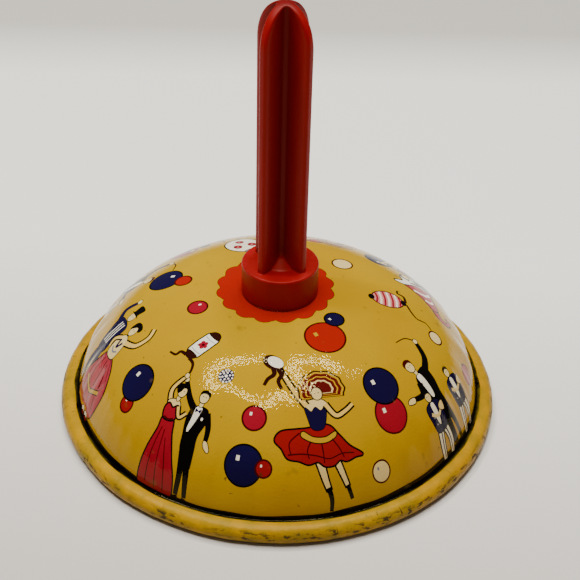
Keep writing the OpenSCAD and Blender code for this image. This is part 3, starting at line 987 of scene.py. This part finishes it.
def printed_tin():
    """Litho inks under clear varnish with its orange peel, with grime, smudges, a chipped rim and painted
    shade in the crevice beside the bead.
    """
    m = Nodes("printed_tin")
    ink = m.add("ShaderNodeAttribute", attribute_name="ink", attribute_type="GEOMETRY")
    here = m.place()
    x, y, z = m.split(here)
    radius = m.from_axis(x, y)
    on_rim = m.ramp(radius, 0.0597, 0.0604)
    # The black border runs through the valley and up onto the bead: a printed border, and painted shade in
    # the crevice between wall and bead
    ragged = m.ramp(m.noise(here, 75, 5, 0.6), 0.25, 0.75, -0.0005, 0.0005)
    edge = m.maths("ADD", radius, ragged)
    border_and_shade = m.times(m.ramp(radius, 0.05930, 0.05932), m.ramp(edge, 0.06062, 0.06050))
    border_and_shade = m.times(border_and_shade, m.ramp(z, 0.0037, 0.0038))
    printed = m.mix(border_and_shade, ink.outputs["Color"], INKS["black"])
    # The varnish has yellowed in patches
    patches = m.ramp(m.noise(here, 28, 4), 0.3, 0.7)
    colour = m.mix(patches, printed, (0.90, 0.80, 0.60), "MULTIPLY")
    # The wall is browner and darker towards the rim
    low_wall = m.ramp(radius, 0.050, 0.0595, 0, 0.6)
    colour = m.mix(low_wall, colour, (0.95, 0.82, 0.60), "MULTIPLY")
    # Finger marks, scuffs and flyspecks
    blot = m.ramp(m.noise(here, 210, 2), 0.69, 0.78)
    colour = m.laid(colour, blot, 0.40, (0.12, 0.07, 0.010))
    scuff = m.ramp(m.noise(here, 95, 6, 0.62, 0.6), 0.66, 0.74)
    colour = m.laid(colour, scuff, 0.14, (0.10, 0.06, 0.012))
    fleck = m.ramp(m.noise(here, 520, 2), 0.735, 0.76)
    colour = m.laid(colour, fleck, 0.65, (0.035, 0.02, 0.008))
    # The rim is duller and dirtier
    grime = m.ramp(m.noise(here, 160, 6, 0.6), 0.38, 0.68)
    colour = m.laid(colour, m.times(grime, on_rim), 0.70, (0.15, 0.11, 0.008))
    # Rubbed dashes run along the rim's outer foot, and short nicks cross it
    around = m.times(m.maths("ARCTAN2", x, y), BEAD_X * MM)
    unrolled = m.joined(m.times(around, 0.4), radius, z)
    rubbed = m.ramp(m.noise(unrolled, 900, 4, 0.65), 0.52, 0.58)
    low = m.times(m.ramp(z, 0.0050, 0.0041), m.ramp(z, 0.0015, 0.0024))
    where = m.ramp(m.noise(here, 45, 3), 0.34, 0.50)
    rubbed = m.times(m.times(rubbed, low), where)
    crossed = m.joined(m.times(around, 2.2), m.times(radius, 0.35), m.times(z, 0.35))
    nicks = m.ramp(m.noise(crossed, 560, 3, 0.6), 0.655, 0.69)
    elsewhere = m.ramp(m.noise(here, 38, 2), 0.46, 0.58)
    chipped = m.maths("MAXIMUM", rubbed, m.times(nicks, elsewhere))
    chipped = m.times(chipped, on_rim)
    colour = m.laid(colour, chipped, 0.92, (0.030, 0.020, 0.010))
    rough = m.ramp(m.noise(here, 70, 5), 0.3, 0.75, 0.04, 0.07)
    rough = m.maths("ADD", rough, m.times(on_rim, 0.30))
    rough = m.maths("ADD", rough, m.times(chipped, 0.25))
    peel = m.noise(here, 1450, 0)
    normal = m.bump(peel, 1, 0.000032)
    dents = m.times(m.noise(here, 420, 3), on_rim)
    normal = m.bump(dents, 0.8, 0.00022, normal)
    normal = m.bump(chipped, 0.6, -0.00006, normal)
    return m.finish(colour, rough, normal, ior=1.26, specular_tint=(1, 0.80, 0.34, 1))


def bare_tin():
    """Unprinted inside of the tin plate: dull lacquered metal with drawing marks and faint stains."""
    m = Nodes("bare_tin")
    here = m.place()
    drawn_marks = m.noise(m.place((1, 1, 14)), 90, 4, 0.6)
    cloud = m.ramp(m.noise(here, 34, 5, 0.6), 0.3, 0.72)
    colour = m.mix(cloud, (0.62, 0.58, 0.47), (0.50, 0.45, 0.33))
    rust = m.ramp(m.noise(here, 120, 6, 0.66, 0.8), 0.66, 0.76)
    colour = m.laid(colour, rust, 0.7, (0.20, 0.085, 0.03))
    rough = m.ramp(drawn_marks, 0.25, 0.75, 0.30, 0.50)
    rough = m.maths("ADD", rough, m.times(rust, 0.3))
    normal = m.bump(drawn_marks, 0.35, 0.00004)
    return m.finish(colour, rough, normal, metallic=0.85)


def grip_plastic():
    """Dark red moulded plastic: a soft shine, with faint flow marks, dust, tiny scratches and painted shade
    in the channels between the ribs.
    """
    m = Nodes("grip_plastic")
    here = m.place()
    flow = m.ramp(m.noise(m.place((1, 1, 0.18)), 260, 4, 0.55), 0.3, 0.7)
    colour = m.mix(flow, (0.255, 0.0032, 0.0035), (0.300, 0.0055, 0.0065))
    # The channels between the ribs are darkened towards the axis: painted shade
    x, y, z = m.split(here)
    radius = m.from_axis(x, y)
    above = m.ramp(z, (SEAT_Z + COLLAR_H + 1) * MM, (SEAT_Z + COLLAR_H + 5) * MM)
    channel_shade = m.times(m.ramp(radius, 0.0020, 0.0078, 0.80, 0), above)
    colour = m.mix(channel_shade, colour, (0.082, 0.0006, 0.0010))
    dust = m.ramp(m.noise(here, 820, 3, 0.6), 0.66, 0.76)
    colour = m.laid(colour, dust, 0.12, (0.42, 0.10, 0.08))
    rough = m.ramp(m.noise(here, 130, 5, 0.6), 0.3, 0.72, 0.34, 0.46)
    wave = m.noise(m.place((1, 1, 0.35)), 170, 3)
    fine = m.noise(here, 1900, 2)
    normal = m.bump(fine, 0.4, 0.000008, m.bump(wave, 0.3, 0.00003))
    return m.finish(colour, rough, normal, ior=1.30, specular_tint=(1, 0.45, 0.36, 1))


def zinc_plate():
    """Zinc-plated steel: bluish grey, mottled, with worn spots."""
    m = Nodes("zinc_plated_steel")
    here = m.place()
    mottle = m.ramp(m.noise(here, 700, 5, 0.6), 0.3, 0.7)
    colour = m.mix(mottle, (0.50, 0.53, 0.57), (0.66, 0.67, 0.66))
    stain = m.ramp(m.noise(here, 260, 4), 0.56, 0.70)
    colour = m.laid(colour, stain, 0.5, (0.36, 0.31, 0.22))
    rough = m.ramp(mottle, 0, 1, 0.30, 0.46)
    normal = m.bump(m.noise(here, 2600, 3), 0.4, 0.00001)
    return m.finish(colour, rough, normal, metallic=1)


def strip_steel():
    """Cold-rolled strip: fine rolling lines along its length and a little surface rust."""
    m = Nodes("strip_steel")
    here = m.place()
    lines = m.noise(m.place((10, 1, 0.6)), 900, 4, 0.6)
    colour = m.mix(m.ramp(lines, 0.3, 0.7), (0.46, 0.46, 0.46), (0.62, 0.61, 0.60))
    rust = m.ramp(m.noise(here, 330, 6, 0.66, 0.5), 0.60, 0.72)
    colour = m.laid(colour, rust, 0.65, (0.17, 0.07, 0.028))
    rough = m.maths("ADD", m.ramp(lines, 0.2, 0.8, 0.26, 0.42), m.times(rust, 0.3))
    normal = m.bump(lines, 0.35, 0.000015)
    return m.finish(colour, rough, normal, metallic=1)


def turned_wood():
    """Plain turned beech: rings across the ball, short dark flecks and a thin lacquer."""
    m = Nodes("turned_wood")
    rings_place = m.place((1, 0.12, 1), (0.15, 0.2, 0))
    rings = m.add("ShaderNodeTexWave", wave_type="RINGS", rings_direction="Y")
    rings.inputs["Scale"].default_value = 150.0
    rings.inputs["Distortion"].default_value = 2.2
    rings.inputs["Detail"].default_value = 3.0
    m.link(rings_place, rings.inputs["Vector"])
    colour = m.mix(rings.outputs["Fac"], (0.60, 0.385, 0.19), (0.46, 0.27, 0.12))
    fleck = m.ramp(m.noise(m.place((1, 0.10, 1)), 1500, 3), 0.60, 0.72)
    colour = m.laid(colour, fleck, 0.55, (0.25, 0.125, 0.05))
    tone = m.ramp(m.noise(m.place(), 120, 3), 0.3, 0.7)
    colour = m.laid(colour, tone, 0.25, (0.38, 0.22, 0.10))
    rough = m.ramp(fleck, 0, 1, 0.38, 0.56)
    normal = m.bump(fleck, 0.4, -0.00003)
    return m.finish(colour, rough, normal, coat_weight=0.25, coat_roughness=0.2)


def pale_floor():
    """Pale paper, brightest behind the bell, darkened in front of it by painted shade, and dull towards its
    far edge.
    """
    m = Nodes("pale_floor")
    here = m.place()
    x, y, z = m.split(here)
    cloud = m.noise(here, 3, 3)
    colour = m.mix(cloud, (0.82, 0.795, 0.74), (0.86, 0.835, 0.785))
    # Painted shade: the floor on the near side of the bell is darkened
    slant = m.maths("ADD", y, m.times(x, 0.12))
    near = m.ramp(slant, -0.10, 0.075)
    colour = m.mix(m.maths("SUBTRACT", 1, near), colour, (0.47, 0.43, 0.39))
    far = m.ramp(y, 0.225, 0.285)
    colour = m.mix(far, colour, (0.48, 0.455, 0.41))
    rough = m.ramp(m.noise(here, 900, 2), 0.3, 0.7, 0.60, 0.70)
    return m.finish(colour, rough)


def dress(node_name, material, edge=0.0):
    """Gives a CAD node its material, and softens its edges by a bevel of that width in millimetres."""
    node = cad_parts[node_name]
    node.data.materials.clear()
    node.data.materials.append(material)
    if edge:
        weld = node.modifiers.new("weld", "WELD")
        weld.merge_threshold = 1e-6
        bevel = node.modifiers.new("edges", "BEVEL")
        bevel.width = edge * MM
        bevel.segments = 2
        bevel.limit_method = "ANGLE"
        bevel.angle_limit = math.radians(35)
        bevel.harden_normals = False
    return node


# ---------- put together

shell = build_shell()
shell.data.materials.append(printed_tin())
shell.data.materials.append(bare_tin())
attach(shell, "bell")
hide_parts("bell_shell")

grip = build_grip()
grip.data.materials.append(grip_plastic())
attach(grip, "bell")
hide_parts("handle")

zinc = zinc_plate()
steel = strip_steel()
dress("handle_screw", zinc, 0.10)
dress("screw_washer", zinc, 0.10)
dress("clapper_bracket", steel, 0.12)
dress("clapper_pin", steel, 0.08)
dress("clapper_arm", steel, 0.12)
dress("clapper_ball", turned_wood())


# ---------- floor, light and camera

FLOOR_SIZE = 6.0
FLOOR_DROP = 0.00005  # keeps the floor just clear of the bead's foot

bpy.ops.mesh.primitive_plane_add(size=FLOOR_SIZE, location=(0, 0, -FLOOR_DROP))
floor = bpy.context.object
floor.name = "floor"
floor.data.materials.append(pale_floor())


LAMP_HEIGHT = 1.3
LAMP_WIDTH = 0.06
LAMP_RADIANCE = 70.0


def tube_lamp(name, start, end):
    """A warm tube in the ceiling, from one point to the other, in metres from the bell."""
    (ax, ay), (bx, by) = start, end
    length = math.hypot(bx - ax, by - ay)
    lamp = bpy.data.lights.new(name, "AREA")
    lamp.shape = "RECTANGLE"
    lamp.size = length
    lamp.size_y = LAMP_WIDTH
    lamp.energy = LAMP_RADIANCE * math.pi * length * LAMP_WIDTH
    lamp.color = (1.0, 0.985, 0.94)
    holder = bpy.data.objects.new(name, lamp)
    bpy.context.collection.objects.link(holder)
    holder.location = ((ax + bx) / 2, (ay + by) / 2, LAMP_HEIGHT)
    holder.rotation_euler = (0, 0, math.atan2(by - ay, bx - ax))


# The ceiling fitting is two loops of tubes, seen again as broken highlights on the dome
LEFT_LOOP = [(-0.65, -0.04), (-0.56, 0.25), (-0.40, 0.42), (-0.09, 0.52)]
LEFT_FRONT = [(-0.65, -0.04), (-0.44, 0.04), (-0.30, -0.11), (-0.08, -0.35), (0.03, -0.09),
              (0.19, -0.29)]
RIGHT_LOOP = [(0.07, 0.44), (0.18, 0.52), (0.33, 0.47), (0.46, 0.30)]
RIGHT_INNER = [(0.08, 0.42), (0.17, 0.11), (0.24, -0.06)]
for loop in (LEFT_LOOP, LEFT_FRONT, RIGHT_LOOP, RIGHT_INNER):
    for start, end in zip(loop, loop[1:]):
        tube_lamp("ceiling_tube", start, end)
tube_lamp("ceiling_spot", (0.60, 0.30), (0.66, 0.32))

world = bpy.data.worlds.new("studio")
world.use_nodes = True
studio = world.node_tree.nodes["Background"].inputs
studio["Color"].default_value = (0.80, 0.79, 0.77, 1)
studio["Strength"].default_value = 0.14
bpy.context.scene.world = world


CAMERA_DISTANCE = 0.351  # from the middle of the bell's foot
CAMERA_ELEVATION = math.radians(39.69)
CAMERA_YAW, CAMERA_PITCH, CAMERA_ROLL = (math.radians(a) for a in (-0.516, 4.87, -1.19))
CAMERA_LENS = 71.3  # for a sensor 36 mm wide


def place_camera():
    """Aims the camera as the photograph was taken: from the front, about 40 degrees above."""
    spot = CAMERA_DISTANCE * Vector((0, -math.cos(CAMERA_ELEVATION), math.sin(CAMERA_ELEVATION)))
    ahead = -spot.normalized()
    right = Vector((1, 0, 0))
    up = right.cross(ahead)
    yaw = Matrix.Rotation(CAMERA_YAW, 3, up)
    ahead, right = yaw @ ahead, yaw @ right
    ahead = Matrix.Rotation(CAMERA_PITCH, 3, right) @ ahead
    up = right.cross(ahead)
    roll = Matrix.Rotation(CAMERA_ROLL, 3, ahead)
    right, up = roll @ right, roll @ up
    data = bpy.data.cameras.new("camera")
    data.sensor_width = 36.0
    data.lens = CAMERA_LENS
    data.clip_start = 0.01
    data.clip_end = 20.0
    camera = bpy.data.objects.new("camera", data)
    bpy.context.collection.objects.link(camera)
    turn = Matrix((right, up, -ahead)).transposed()
    camera.matrix_world = Matrix.Translation(spot) @ turn.to_4x4()
    bpy.context.scene.camera = camera


place_camera()
